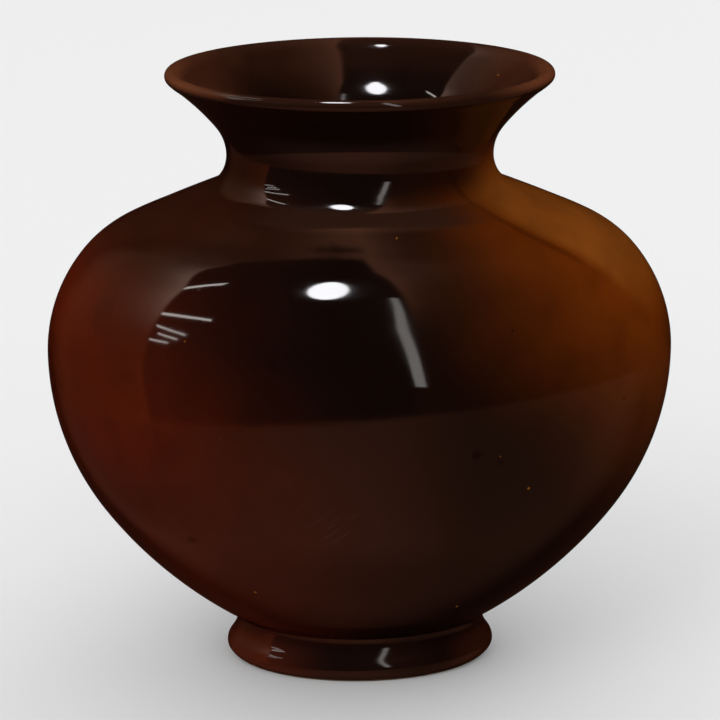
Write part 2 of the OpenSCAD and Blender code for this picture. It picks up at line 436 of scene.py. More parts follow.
for vertex in inner_glaze.data.vertices:
    reach = math.hypot(vertex.co.x, vertex.co.y / DEPTH_SHARE)
    on_floor = reach < floor_rim[0] and vertex.co.z > floor_rim[1] - FLOOR_SLACK
    if on_floor and reach > NEAR:
        turn = math.atan2(vertex.co.y / DEPTH_SHARE, vertex.co.x)
        ease_out = min(1.0, reach / SPIRAL_PITCH) * min(1.0, (floor_rim[0] - reach) / SPIRAL_PITCH)
        wave = (1 + math.cos(2 * math.pi * reach / SPIRAL_PITCH - turn)) / 2
        vertex.co.z += SPIRAL_DEPTH * ease_out * wave
print(f"spiral of {floor_rim[0] / SPIRAL_PITCH:.1f} turns, {SPIRAL_DEPTH / MM:.2f} mm high")

# %% [markdown]
# ## Foot ring and the glaze under the base
# The pot stands on a dry ring of bare clay, turned with a tool that leaves fine grooves.
# Inside the ring a thin glaze covers the recess and gathers in its corner, as a liquid does.
# Both are seen only from below, but a part for a library is looked at from all sides.
# The CAD pieces could be kept there, but grooves and a pooled corner need finer rings of their own.

# %% Turn the foot ring
GROOVE_PITCH = 0.95 * MM
GROOVE_DEPTH = 0.06 * MM
GROOVE_CUTS = 6
FOOT_AROUND = 192

foot_section = section_of("foot_ring")
stand_low, stand_high = sorted(foot_section[foot_section[:, 1] < NEAR][:, 0])
foot_rings = []
for (r, z), (next_r, next_z) in zip(foot_section, np.roll(foot_section, -1, axis=0)):
    standing = max(z, next_z) < NEAR
    pieces = math.ceil(abs(next_r - r) / (GROOVE_PITCH / GROOVE_CUTS)) if standing else 1
    for t in np.arange(pieces) / pieces:
        at = r + (next_r - r) * t
        edge = min(1.0, (at - stand_low) / GROOVE_PITCH, (stand_high - at) / GROOVE_PITCH)
        groove = GROOVE_DEPTH * max(0.0, edge) * (1 - math.cos(2 * math.pi * at / GROOVE_PITCH)) / 2
        foot_rings.append((at, z + (groove if standing else 0.0), 0.0, 0.0, False))
foot_ring = turned_piece("turned_foot_ring", foot_rings, FOOT_AROUND)
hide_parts("foot_ring")

# %% Turn the base glaze
POOL = 2.4 * MM
POOL_STEPS = 10
FLAT_STEPS = 12
BASE_AROUND = 128

base_section = section_of("base_glaze")
edge_r, edge_z = base_section[:, 0].min(), base_section[:, 1].min()
wall_r, roof_z = base_section[:, 0].max(), base_section[:, 1].max()
coat = wall_r - edge_r
under_z = roof_z - coat
sweep = [math.pi / 2 * i / POOL_STEPS for i in range(POOL_STEPS + 1)]
corner = [(edge_r - POOL * (1 - math.sin(a)), under_z - POOL * (1 - math.cos(a))) for a in sweep]
bead = [(wall_r - coat * math.cos(a), edge_z + coat * (1 - math.sin(a))) for a in sweep]
flat = [(r, under_z) for r in np.linspace(0.0, edge_r - POOL, FLAT_STEPS)[:-1]]
base_rings = hidden_rings(flat + corner + bead + [(wall_r, roof_z), (0.0, roof_z)])
base_glaze = turned_piece("base_glaze_coat", base_rings, BASE_AROUND)
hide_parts("base_glaze")

# %% [markdown]
# ## Spots in a finish
# Fired glaze is never quite clean: iron burns through in ochre specks, and gas leaves a few dark pinholes.
# They could be modelled one by one, but a cell pattern scatters them evenly if only some cells are chosen.
# A little noise bends the cells, so that no two specks have the same outline.

# %% Scattered spots
BEND = 0.9
SPOT_CORE = 0.45


def spots(tree, place, spacing, radius, share):
    """A mask that is 1 inside scattered spots of a radius, in a share of the cells of a spacing."""
    bend = add(tree, "TexNoise", {"Vector": place, "Scale": BEND / radius, "Detail": 2.0}).outputs["Color"]
    away = add(tree, "VectorMath", {0: bend, 1: (NOISE_MIDDLE,) * 3}, operation="SUBTRACT").outputs[0]
    nudge = {0: away, 1: (radius,) * 3, 2: place}
    bent = add(tree, "VectorMath", nudge, operation="MULTIPLY_ADD").outputs[0]
    cells = add(tree, "TexVoronoi", {"Vector": bent, "Scale": 1.0 / spacing})
    inside = fade(tree, cells.outputs["Distance"], radius / spacing, SPOT_CORE * radius / spacing)
    lot = add(tree, "SeparateColor", {0: cells.outputs["Color"]}).outputs[0]
    return overlap(tree, inside, calc(tree, "GREATER_THAN", lot, 1.0 - share))


print(f"a spot is full inside {SPOT_CORE:.0%} of its radius")

# %% [markdown]
# ## Ground under the glaze
# Painted shade darkens the zones low down and at the far left, and the amber shoulder is partly a painted
# reflection.
# The ground was sprayed on as coloured slip in soft zones, and the clear brown glaze deepens it.
# From the front it is red-brown on the left, near-black in a swath down the middle and amber at the right.
# A painted image would be tied to one view, so the zones are angles and heights on the pot itself.
# Each pair of heights or angles below says where a change starts and where it ends.
# Where four values stand together, the last two are the strengths at its start and at its end.

# %% Red on the left and brown on the right, with painted shade
NEAR_BLACK = srgb(13, 4, 2)
# The low colours are darker partly as painted shade, for light that falls from above.
RED_LOW_SHADED = srgb(51, 12, 4)
RED_WAIST = srgb(74, 19, 4)
RED_HIGH = srgb(88, 26, 9)
RED_TOP = srgb(49, 20, 10)
BROWN_LOW_SHADED = srgb(36, 15, 7)
BROWN_HIGH = srgb(98, 40, 3)
WAIST_RISE = (47 * MM, 76 * MM)
SHOULDER_RISE = (86 * MM, 100 * MM)
TOP_RISE = (102 * MM, 116 * MM)
BROWN_RISE = (42 * MM, 114 * MM)
SIDE_CHANGE = (-0.45, 0.55)
# The far left is darkened by painted shade, on a side that faces away from the light.
FAR_LEFT_TURN = -math.pi / 2
FAR_LEFT_SPREAD = (0.8, 0.1)
FAR_LEFT_DROP = (98 * MM, 78 * MM)
FAR_LEFT_PAINTED_SHADE = 0.5


def side_colours(tree, height, turn):
    """The red-brown left and the brown right, which change with height and meet in the middle. Their
    darkening towards the bottom is partly painted shade, and at the far left it is painted shade.
    """
    red = blend(tree, fade(tree, height, *WAIST_RISE), RED_LOW_SHADED, RED_WAIST)
    red = blend(tree, fade(tree, height, *SHOULDER_RISE), red, RED_HIGH)
    red = blend(tree, fade(tree, height, *TOP_RISE), red, RED_TOP)
    far_left_shade = fade(tree, away_from(tree, turn, FAR_LEFT_TURN), *FAR_LEFT_SPREAD, 0.0, FAR_LEFT_PAINTED_SHADE)
    red = blend(tree, overlap(tree, far_left_shade, fade(tree, height, *FAR_LEFT_DROP)), red, NEAR_BLACK)
    brown = blend(tree, fade(tree, height, *BROWN_RISE), BROWN_LOW_SHADED, BROWN_HIGH)
    return blend(tree, fade(tree, calc(tree, "SINE", turn), *SIDE_CHANGE), red, brown)


print(f"the red is warmest from {SHOULDER_RISE[1] / MM:.0f} to {TOP_RISE[0] / MM:.0f} mm up")

# %% Amber on the right shoulder, partly a painted reflection
# The amber is partly the ground's colour and partly a painted reflection, and its dark line is a painted
# reflection.
AMBER_WITH_REFLECTION = srgb(116, 60, 16)
AMBER_TURN, AMBER_HEIGHT = math.radians(52), 118 * MM
AMBER_SLANT = 12.5
AMBER_WANDER = 0.10
AMBER_EDGE = (-0.05, 0.06)
AMBER_SOFTENING = (116 * MM, 124 * MM, 1.0, 0.22)
AMBER_BACK = (2.7, 1.9)
AMBER_RISE, AMBER_DROP = (92 * MM, 112 * MM), (134 * MM, 122 * MM)
REFLECTED_EDGE_PLACE, REFLECTED_EDGE_WIDTH = -0.05, (0.04, 0.01)
REFLECTED_EDGE_RISE, REFLECTED_EDGE_STRENGTH = (104 * MM, 116 * MM), 0.28


def lay_amber_and_reflection(tree, height, turn, drift, colour):
    """The amber of the shoulder, partly a painted reflection: a slanting edge that softens upwards, and a
    thin dark line along it, which is a painted reflection of an edge.
    """
    lift = calc(tree, "MULTIPLY", calc(tree, "SUBTRACT", AMBER_HEIGHT, height), AMBER_SLANT)
    past_edge = calc(tree, "SUBTRACT", turn, calc(tree, "ADD", lift, AMBER_TURN))
    past_edge = calc(tree, "ADD", past_edge, calc(tree, "MULTIPLY", drift, AMBER_WANDER))
    softened = calc(tree, "MULTIPLY", past_edge, fade(tree, height, *AMBER_SOFTENING))
    amber = overlap(tree, fade(tree, softened, *AMBER_EDGE), fade(tree, turn, *AMBER_BACK))
    amber = overlap(tree, amber, fade(tree, height, *AMBER_RISE), fade(tree, height, *AMBER_DROP))
    colour = blend(tree, amber, colour, AMBER_WITH_REFLECTION)
    line = fade(tree, away_from(tree, past_edge, REFLECTED_EDGE_PLACE), *REFLECTED_EDGE_WIDTH)
    line = overlap(tree, line, fade(tree, height, *REFLECTED_EDGE_RISE, 0.0, REFLECTED_EDGE_STRENGTH))
    return blend(tree, line, colour, NEAR_BLACK)


print(f"amber from {math.degrees(AMBER_TURN):.0f} degrees rightwards at {AMBER_HEIGHT / MM:.0f} mm up")

# %% Near-black swath down the front
SWATH_TURN, SWATH_HEIGHT = math.radians(8), 88 * MM
SWATH_SLANT = 11.3
SWATH_LEAST, SWATH_MOST = math.radians(3), math.radians(32)
SWATH_CORE, SWATH_EDGE = math.radians(5), math.radians(60)
SWATH_WANDER = 0.35
SWATH_LEFT_LOW = (84 * MM, 102 * MM, -0.70, -0.54)
SWATH_LEFT_HIGH = (112 * MM, 119 * MM, 0.0, -0.4)
SWATH_RIGHT_LOW = (76 * MM, 52 * MM, 1.0, 1.3)


def lay_swath(tree, height, turn, drift, colour):
    """The dark swath: it slants to the right as it goes down, and reaches further to the left."""
    slant = calc(tree, "MULTIPLY", calc(tree, "SUBTRACT", SWATH_HEIGHT, height), SWATH_SLANT)
    limits = {"Value": calc(tree, "ADD", slant, SWATH_TURN), "Min": SWATH_LEAST, "Max": SWATH_MOST}
    middle = add(tree, "Clamp", limits).outputs[0]
    wandering = calc(tree, "ADD", turn, calc(tree, "MULTIPLY", drift, SWATH_WANDER))
    from_middle = calc(tree, "SUBTRACT", wandering, middle)
    left_low = fade(tree, height, *SWATH_LEFT_LOW)
    left_high = fade(tree, height, *SWATH_LEFT_HIGH)
    to_left = calc(tree, "MULTIPLY", from_middle, calc(tree, "ADD", left_low, left_high))
    to_right = calc(tree, "MULTIPLY", from_middle, fade(tree, height, *SWATH_RIGHT_LOW))
    span = calc(tree, "MAXIMUM", to_right, to_left)
    return blend(tree, fade(tree, span, SWATH_EDGE, SWATH_CORE), colour, NEAR_BLACK)


print(f"the swath fades out over {math.degrees(SWATH_EDGE - SWATH_CORE):.0f} degrees to the right")

# %% The whole ground
DRIFT_SIZE = 38 * MM


def ground_colour(tree, place):
    """The blended ground as seen through the glaze, with the axes and the turn round the pot."""
    axes = add(tree, "SeparateXYZ", {0: place}).outputs
    front = calc(tree, "MULTIPLY", axes[1], -1.0 / DEPTH_SHARE)
    turn = calc(tree, "ARCTAN2", axes[0], front)
    drift = calc(tree, "SUBTRACT", cloud(tree, place, DRIFT_SIZE), NOISE_MIDDLE)
    colour = side_colours(tree, axes[2], turn)
    colour = lay_amber_and_reflection(tree, axes[2], turn, drift, colour)
    return lay_swath(tree, axes[2], turn, drift, colour), axes, turn


print(f"the zones drift in patches of {DRIFT_SIZE / MM:.0f} mm")

# %% [markdown]
# ## A gloss finish
# Glaze is glass: it keeps a sharp reflection over whatever colour lies beneath it.
# A real coat also has the faint orange-peel of glass that stiffened as it cooled, and a few burst bubbles.
# Each coat could have a tree of its own, but all three glazes are made by one function.
# So they differ only in colour, sheen and number of marks.

# %% One glaze from a colour
PEEL_SIZE = 2.2 * MM
PEEL_DEPTH = 0.0016 * MM
PIT_DEPTH = 0.05 * MM
SHEEN_SIZE = 24 * MM
SHEEN_CHANGE = (0.35, 0.70)
GLASS_IOR = 1.5
MOTTLE_CHANGE = (0.35, 0.75)


def mottle(tree, place, size, shade, colour):
    """Darkens a colour in patches of a size, as a coat of uneven thickness does."""
    patches = fade(tree, cloud(tree, place, size, detail=5.0), *MOTTLE_CHANGE, 0.0, shade)
    return blend(tree, patches, colour, NEAR_BLACK)


def lay_glaze(tree, shader, place, colour, pits, gloss=0.045, dull=0.085):
    """Puts a glass surface over a colour, with orange-peel, pinholes and patches that are duller."""
    peel = calc(tree, "MULTIPLY", cloud(tree, place, PEEL_SIZE, detail=1.0), PEEL_DEPTH)
    dent = calc(tree, "MULTIPLY", pits, -PIT_DEPTH)
    relief = calc(tree, "ADD", peel, dent)
    bump = add(tree, "Bump", {"Height": relief, "Strength": 1.0, "Distance": 1.0})
    sheen = fade(tree, cloud(tree, place, SHEEN_SIZE, detail=4.0), *SHEEN_CHANGE, gloss, dull)
    tree.links.new(colour, shader.inputs["Base Color"])
    tree.links.new(sheen, shader.inputs["Roughness"])
    tree.links.new(bump.outputs[0], shader.inputs["Normal"])
    shader.inputs["IOR"].default_value = GLASS_IOR


print(f"glass with an index of {GLASS_IOR}, and pinholes {PIT_DEPTH / MM:.2f} mm deep")

# %% [markdown]
# ## Colour of the outer glaze
# The glaze breaks paler where it runs thin, on the lip and the roll of the foot.
# It is darker in the crease above the foot, where it pools and where painted shade is laid.
# The neck is painted darker than the body except at its right, as shade under the flare.
# Two paler bands across its front are painted reflections.
# They could be painted as an image, but as functions of place on the pot they hold from every side.

# %% Painted shade and reflections on the neck
# The two browns are painted reflections, laid as paler bands across the front.
ROOT_REFLECTION_BROWN = srgb(46, 26, 18)
UNDER_FLARE_REFLECTION = srgb(28, 15, 10)
NECK_LIGHT_TURN = math.radians(100)
NECK_LIGHT_SPREAD = (0.26, 1.0)
# The darkening of the neck and of the flare below is painted shade.
NECK_RISE, NECK_PAINTED_SHADE = (120 * MM, 130 * MM), 0.8
FRONT_SPREAD, FRONT_SHARE = (0.95, 0.35), 0.9
ROOT_RISE, ROOT_DROP = (119.5 * MM, 121 * MM), (125 * MM, 123 * MM)
FLARE_RISE, FLARE_PAINTED_SHADE = (126 * MM, 140 * MM), 0.9
UNDER_RISE, UNDER_DROP = (133.5 * MM, 136 * MM), (142 * MM, 137 * MM)


def paint_neck_shade_and_reflections(tree, height, turn, colour):
    """Paints shade on the neck except at its right, and on all of the flare, and lays two painted
    reflections as paler bands in front.
    """
    from_light = away_from(tree, turn, NECK_LIGHT_TURN)
    shade = overlap(
        tree,
        fade(tree, height, *NECK_RISE),
        fade(tree, from_light, *NECK_LIGHT_SPREAD, 0.0, NECK_PAINTED_SHADE),
    )
    colour = blend(tree, shade, colour, NEAR_BLACK)
    in_front = fade(tree, away_from(tree, turn, 0.0), *FRONT_SPREAD, 0.0, FRONT_SHARE)
    root = overlap(tree, fade(tree, height, *ROOT_RISE), fade(tree, height, *ROOT_DROP), in_front)
    colour = blend(tree, root, colour, ROOT_REFLECTION_BROWN)
    colour = blend(tree, fade(tree, height, *FLARE_RISE, 0.0, FLARE_PAINTED_SHADE), colour, NEAR_BLACK)
    under_flare_reflection = overlap(tree, fade(tree, height, *UNDER_RISE), fade(tree, height, *UNDER_DROP), in_front)
    return blend(tree, under_flare_reflection, colour, UNDER_FLARE_REFLECTION)


print(f"the neck is lightest {math.degrees(NECK_LIGHT_TURN):.0f} degrees round from the front")

# %% The foot, and painted shade in the crease
FOOT_RED = srgb(62, 21, 10)
FOOT_DARK = srgb(20, 7, 4)
FOOT_BROWN = srgb(44, 17, 7)
CREASE_HEIGHT = 10.5 * MM
CREASE_SPREAD, CREASE_PAINTED_SHADE = (4.0 * MM, 0.5 * MM), 0.5
FOOT_CHANGE = (CREASE_HEIGHT + 1 * MM, 8.0 * MM)
FOOT_LEFT, FOOT_RIGHT = (-27 * MM, -6 * MM), (18 * MM, 30 * MM)


def lay_foot_and_crease_shade(tree, axes, colour):
    """The red, dark and brown stretches of the foot from left to right, and the crease above it, darkened
    by pooled glaze and painted shade.
    """
    foot = blend(tree, fade(tree, axes[0], *FOOT_LEFT), FOOT_RED, FOOT_DARK)
    foot = blend(tree, fade(tree, axes[0], *FOOT_RIGHT), foot, FOOT_BROWN)
    colour = blend(tree, fade(tree, axes[2], *FOOT_CHANGE), colour, foot)
    # The crease is darkened by painted shade as well as by the pooled glaze.
    from_crease = away_from(tree, axes[2], CREASE_HEIGHT)
    return blend(tree, fade(tree, from_crease, *CREASE_SPREAD, 0.0, CREASE_PAINTED_SHADE), colour, NEAR_BLACK)


print(f"the crease is {CREASE_HEIGHT / MM:.1f} mm above the table")

# %% Thin coat on the lip
LIP_BROWN = srgb(42, 21, 13)
LIP_END = srgb(96, 52, 31)
LIP_TOP = outer_section[crest][1]
LIP_ENDS = (27 * MM, 43 * MM)
LIP_BACK, LIP_BACK_SHARE = (11 * MM, -3 * MM), 0.35
LIP_RISE, LIP_SHARE = (LIP_TOP - 2.4 * MM, LIP_TOP - 0.5 * MM), 0.85


def lay_lip(tree, axes, colour):
    """The paler brown of a thin coat on the roll of the lip, palest at the front of its wide ends."""
    at_end = fade(tree, away_from(tree, axes[0], 0.0), *LIP_ENDS)
    at_end = overlap(tree, at_end, fade(tree, axes[1], *LIP_BACK, LIP_BACK_SHARE, 1.0))
    lip = blend(tree, at_end, LIP_BROWN, LIP_END)
    return blend(tree, fade(tree, axes[2], *LIP_RISE, 0.0, LIP_SHARE), colour, lip)


print(f"the crest of the lip is at {LIP_TOP / MM:.1f} mm")

# %% [markdown]
# ## Marks of fire and use
# On the body there are ochre specks, pinholes, a few dull blotches and one patch of fine scratches.
# The scratches could be cut into the mesh, but they are far finer than its faces.
# So they stay in the finish, as the other marks do.
# Noise that is drawn out along one line gives streaks that all run the same way.

# %% Specks, pits, blotches and scratches
OCHRE = srgb(140, 82, 22)
PALE_MARK = srgb(84, 62, 56)
SPECKS = {"spacing": 8 * MM, "radius": 0.45 * MM, "share": 0.3}
PITS = {"spacing": 9 * MM, "radius": 0.5 * MM, "share": 0.4}
BLOTCHES = {"spacing": 17 * MM, "radius": 1.7 * MM, "share": 0.5}
SPECK_STRENGTH, PIT_STRENGTH, BLOTCH_STRENGTH, SCRATCH_STRENGTH = 0.7, 0.7, 0.4, 0.15
SCRATCH_MIDDLE = (-7 * MM, -38 * MM, 54 * MM)
SCRATCH_REACH, SCRATCH_HEART = 14 * MM, 4.2 * MM
SCRATCH_TURN = math.radians(42)
SCRATCH_FINENESS = (90.0, 0.0, 1600.0)
SCRATCH_CHANGE = (0.58, 0.72)


def scratches(tree, place):
    """A mask of fine scratches that all run one way, in one worn patch of the belly."""
    spun = {"Vector": place, "Angle": SCRATCH_TURN}
    along = add(tree, "VectorRotate", spun, rotation_type="Y_AXIS").outputs[0]
    drawn = add(tree, "VectorMath", {0: along, 1: SCRATCH_FINENESS}, operation="MULTIPLY").outputs[0]
    streaks = add(tree, "TexNoise", {"Vector": drawn, "Scale": 1.0, "Detail": 2.0}).outputs[0]
    away = add(tree, "VectorMath", {0: place, 1: SCRATCH_MIDDLE}, operation="DISTANCE").outputs["Value"]
    worn = fade(tree, away, SCRATCH_REACH, SCRATCH_HEART)
    return overlap(tree, fade(tree, streaks, *SCRATCH_CHANGE), worn)


def mark(tree, mask, strength, colour, mark_colour):
    """Lays the colour of a mark where its mask is."""
    return blend(tree, calc(tree, "MULTIPLY", mask, strength), colour, mark_colour)


print(f"specks of {SPECKS['radius'] / MM:.2f} mm, scratches within {SCRATCH_REACH / MM:.0f} mm")

# %% Outer glaze finish
OUTER_MOTTLE, OUTER_MOTTLE_SHADE = 11 * MM, 0.25
GLINT, BLOTCH_GLINT = 0.5, 0.28

outer_finish, tree, shader, place = new_finish("outer_glaze_gloss")
colour, axes, turn = ground_colour(tree, place)
colour = mottle(tree, place, OUTER_MOTTLE, OUTER_MOTTLE_SHADE, colour)
colour = paint_neck_shade_and_reflections(tree, axes[2], turn, colour)
colour = lay_foot_and_crease_shade(tree, axes, colour)
colour = lay_lip(tree, axes, colour)
colour = mark(tree, spots(tree, place, **SPECKS), SPECK_STRENGTH, colour, OCHRE)
pits = spots(tree, place, **PITS)
colour = mark(tree, pits, PIT_STRENGTH, colour, NEAR_BLACK)
blotches = spots(tree, place, **BLOTCHES)
colour = mark(tree, blotches, BLOTCH_STRENGTH, colour, NEAR_BLACK)
colour = mark(tree, scratches(tree, place), SCRATCH_STRENGTH, colour, PALE_MARK)
lay_glaze(tree, shader, place, colour, pits)
glint = fade(tree, blotches, 0.0, 1.0, GLINT, BLOTCH_GLINT)
tree.links.new(glint, shader.inputs["Specular IOR Level"])
outer_glaze.data.materials.append(outer_finish)
print(f"outer glaze: {len(tree.nodes)} nodes")

# %% [markdown]
# ## Inside and underside
# The inside got a plain brown glaze, paler at the wide ends of the lip and darkest down in the neck, where
# the darkening is painted shade.
# The base got a thin wash that shows the clay through it in patches.
# Both could share the outer finish, but its zones belong to the outside alone.

# %% Inner glaze finish
INSIDE_BROWN = srgb(58, 28, 17)
# The deep brown is painted shade inside the mouth, laid everywhere but at the wide ends, and a little less
# near the lip.
INSIDE_SHADE_BROWN = srgb(20, 8, 4)
INSIDE_ENDS = (21 * MM, 36 * MM)
INSIDE_RISE, INSIDE_SHARE = (143.5 * MM, 147.5 * MM), 0.22
INNER_MOTTLE, INNER_MOTTLE_SHADE = 8 * MM, 0.35
INNER_SPECKS = {"spacing": 9 * MM, "radius": 0.4 * MM, "share": 0.5}
INNER_SPECK_STRENGTH = 0.5
INNER_PITS = {"spacing": 9 * MM, "radius": 0.5 * MM, "share": 0.5}

inner_finish, tree, shader, place = new_finish("inner_glaze_gloss")
axes = add(tree, "SeparateXYZ", {0: place}).outputs
paler = fade(tree, away_from(tree, axes[0], 0.0), *INSIDE_ENDS)
paler = calc(tree, "MAXIMUM", paler, fade(tree, axes[2], *INSIDE_RISE, 0.0, INSIDE_SHARE))
colour = blend(tree, paler, INSIDE_SHADE_BROWN, INSIDE_BROWN)
colour = mottle(tree, place, INNER_MOTTLE, INNER_MOTTLE_SHADE, colour)
colour = lay_lip(tree, axes, colour)
colour = mark(tree, spots(tree, place, **INNER_SPECKS), INNER_SPECK_STRENGTH, colour, OCHRE)
lay_glaze(tree, shader, place, colour, spots(tree, place, **INNER_PITS))
inner_glaze.data.materials.append(inner_finish)
print(f"inner glaze: {len(tree.nodes)} nodes")

# %% Base glaze finish
BASE_THIN = srgb(116, 68, 34)
BASE_THICK = srgb(58, 27, 12)
FLOW_SIZE, FLOW_CHANGE = 7 * MM, (0.35, 0.65)
BASE_PITS = {"spacing": 7 * MM, "radius": 0.4 * MM, "share": 0.6}
BASE_PIT_STRENGTH = 0.8
BASE_GLOSS, BASE_DULL = 0.09, 0.18

base_finish, tree, shader, place = new_finish("base_glaze_gloss")
flow = cloud(tree, place, FLOW_SIZE, detail=5.0)
colour = blend(tree, fade(tree, flow, *FLOW_CHANGE), BASE_THICK, BASE_THIN)
pits = spots(tree, place, **BASE_PITS)
colour = mark(tree, pits, BASE_PIT_STRENGTH, colour, NEAR_BLACK)
lay_glaze(tree, shader, place, colour, pits, BASE_GLOSS, BASE_DULL)
base_glaze.data.materials.append(base_finish)
print(f"base glaze: {len(tree.nodes)} nodes")

# %% [markdown]
# ## Clay, slip and ground
# The dry foot shows the body of the pot: a fine buff clay with iron grains, and dark scuffs from shelves.
# The slip in the seams is the same clay thinned with water.
# The ground is slip too, coloured and sprayed on.
# Seams and ground lie under glaze and could stay plain, but a piece should look right when taken apart.

# %% Dry clay
IRON = (0.10, 0.045, 0.02, 1.0)
SCUFF = (0.17, 0.12, 0.085, 1.0)
STAIN = srgb(34, 13, 7)
STAIN_EDGE = 0.5 * MM
BEYOND_THE_POT = 1.0
PATCH_SIZE, PATCH_CHANGE = 14 * MM, (0.3, 0.7)
GRAINS = {"spacing": 1.8 * MM, "radius": 0.22 * MM, "share": 0.45}
GRAIN_STRENGTH = 0.8
WEAR_SIZE, WEAR_CHANGE = 4 * MM, (0.45, 0.72)
TOOTH_SIZE, TOOTH_STRENGTH = 0.5 * MM, 0.8
TOOTH_DEPTH = 0.03 * MM
TOOTH_DULLNESS = (0.3, 0.7, 0.72, 0.92)


def lay_dry(tree, shader, colour, tooth, strength, dullness):
    """Gives a surface its colour, a fine tooth and a dullness that follows the tooth."""
    bump = add(tree, "Bump", {"Height": tooth, "Strength": strength, "Distance": TOOTH_DEPTH})
    tree.links.new(colour, shader.inputs["Base Color"])
    tree.links.new(fade(tree, tooth, *dullness), shader.inputs["Roughness"])
    tree.links.new(bump.outputs[0], shader.inputs["Normal"])


def earthy_finish(name, light, dark, scuffed, stain_from=BEYOND_THE_POT):
    """Dry fired clay: patches of colour, iron grains, scuffs, and a stain of glaze beyond a radius."""
    finish, tree, shader, place = new_finish(name)
    colour = blend(tree, fade(tree, cloud(tree, place, PATCH_SIZE), *PATCH_CHANGE), dark, light)
    colour = mark(tree, spots(tree, place, **GRAINS), GRAIN_STRENGTH, colour, IRON)
    worn = fade(tree, cloud(tree, place, WEAR_SIZE, detail=6.0), *WEAR_CHANGE, 0.0, scuffed)
    colour = blend(tree, worn, colour, SCUFF)
    to_round = {0: place, 1: (1.0, 1.0 / DEPTH_SHARE, 0.0)}
    pulled = add(tree, "VectorMath", to_round, operation="MULTIPLY").outputs[0]
    radius = add(tree, "VectorMath", {0: pulled}, operation="LENGTH").outputs["Value"]
    colour = blend(tree, fade(tree, radius, stain_from, stain_from + STAIN_EDGE), colour, STAIN)
    lay_dry(tree, shader, colour, cloud(tree, place, TOOTH_SIZE), TOOTH_STRENGTH, TOOTH_DULLNESS)
    return finish


print(f"iron grains of {GRAINS['radius'] / MM:.2f} mm in the clay")

# %% Clay of the foot and the body
CLAY = (0.62, 0.46, 0.29, 1.0)
CLAY_SHADE = (0.47, 0.32, 0.19, 1.0)
FOOT_SCUFFS, BODY_SCUFFS = 0.65, 0.12
STAIN_START = stand_high - 0.3 * MM

foot_clay = earthy_finish("bare_foot_clay", CLAY, CLAY_SHADE, FOOT_SCUFFS, STAIN_START)
foot_ring.data.materials.append(foot_clay)
body_clay = earthy_finish("body_clay", CLAY, CLAY_SHADE, BODY_SCUFFS)
print(f"the foot is stained from a radius of {STAIN_START / MM:.1f} mm")

# %% Seam slip and ground coat
SLIP = (0.45, 0.30, 0.18, 1.0)
SLIP_SHADE = (0.33, 0.21, 0.12, 1.0)
SLIP_SCUFFS = 0.2
SPRAY_SIZE, SPRAY_STRENGTH = 0.8 * MM, 0.6
SPRAY_SHADE = (0.35, 0.7, 0.0, 0.3)
SPRAY_DULLNESS = (0.3, 0.7, 0.6, 0.8)

seam_slip = earthy_finish("seam_slip", SLIP, SLIP_SHADE, SLIP_SCUFFS)
# The ground coat takes the same zones, with their painted shade and painted reflection.
ground_finish, tree, shader, place = new_finish("sprayed_ground")
colour, axes, turn = ground_colour(tree, place)
spray = cloud(tree, place, SPRAY_SIZE)
colour = blend(tree, fade(tree, spray, *SPRAY_SHADE), colour, NEAR_BLACK)
lay_dry(tree, shader, colour, spray, SPRAY_STRENGTH, SPRAY_DULLNESS)
print(f"ground coat: {len(tree.nodes)} nodes")

# %% Finishes on the CAD solids
KEPT_NODES = {
    "lower_body": body_clay,
    "upper_body": body_clay,
    "neck_collar": body_clay,
    "foot_joint_slip": seam_slip,
    "belly_joint_slip": seam_slip,
    "neck_joint_slip": seam_slip,
    "ground_coat": ground_finish,
}
for node, finish in KEPT_NODES.items():
    nodes[node].data.materials.clear()
    nodes[node].data.materials.append(finish)
print(f"finishes on {len(KEPT_NODES)} nodes that keep their CAD shape")

# %% [markdown]
# ## What the glaze mirrors
# A gloss pot shows its surroundings, and on a pale paper sweep alone it would turn grey at its edges.
# The photograph seems to have been taken in a tent of cloth.
# It had an opening to a dark room in front, and a lamp high up in it.
# A whole tent could be modelled and lit, but it would change the light on the pot and the floor.
# Here it is a shell that only mirror rays see: it lights nothing, throws no shadow and shows in no camera.
# It glows in a first mirror only, so a mirror image of a mirror image stays dark.

# %% Directions, and a light that only a first mirror shows
# Glossy Depth is 1 in a first mirror and 2 in a second one.
FIRST_MIRROR = 1.5


def toward(azimuth, elevation):
    """The direction at an angle round from the camera, rightwards positive, and an angle above level."""
    turn, rise = math.radians(azimuth), math.radians(elevation)
    return Vector((math.sin(turn) * math.cos(rise), -math.cos(turn) * math.cos(rise), math.sin(rise)))


def mirror_light(name):
    """A finish that glows with the colour of its points, in a first mirror only."""
    finish = bpy.data.materials.new(name)
    finish.use_nodes = True
    tree = finish.node_tree
    tree.nodes.clear()
    light = add(tree, "Attribute", {}, attribute_name="glow").outputs["Color"]
    depth = add(tree, "LightPath", {}).outputs["Glossy Depth"]
    first = calc(tree, "LESS_THAN", depth, FIRST_MIRROR)
    shine = add(tree, "Emission", {"Color": light, "Strength": first}).outputs[0]
    add(tree, "OutputMaterial", {"Surface": shine})
    return finish


print(f"straight ahead is {tuple(round(c, 1) for c in toward(0, 0))}")

# %% A surface that only mirrors show
SHELL_CENTRE = Vector((0.0, 0.0, 80 * MM))


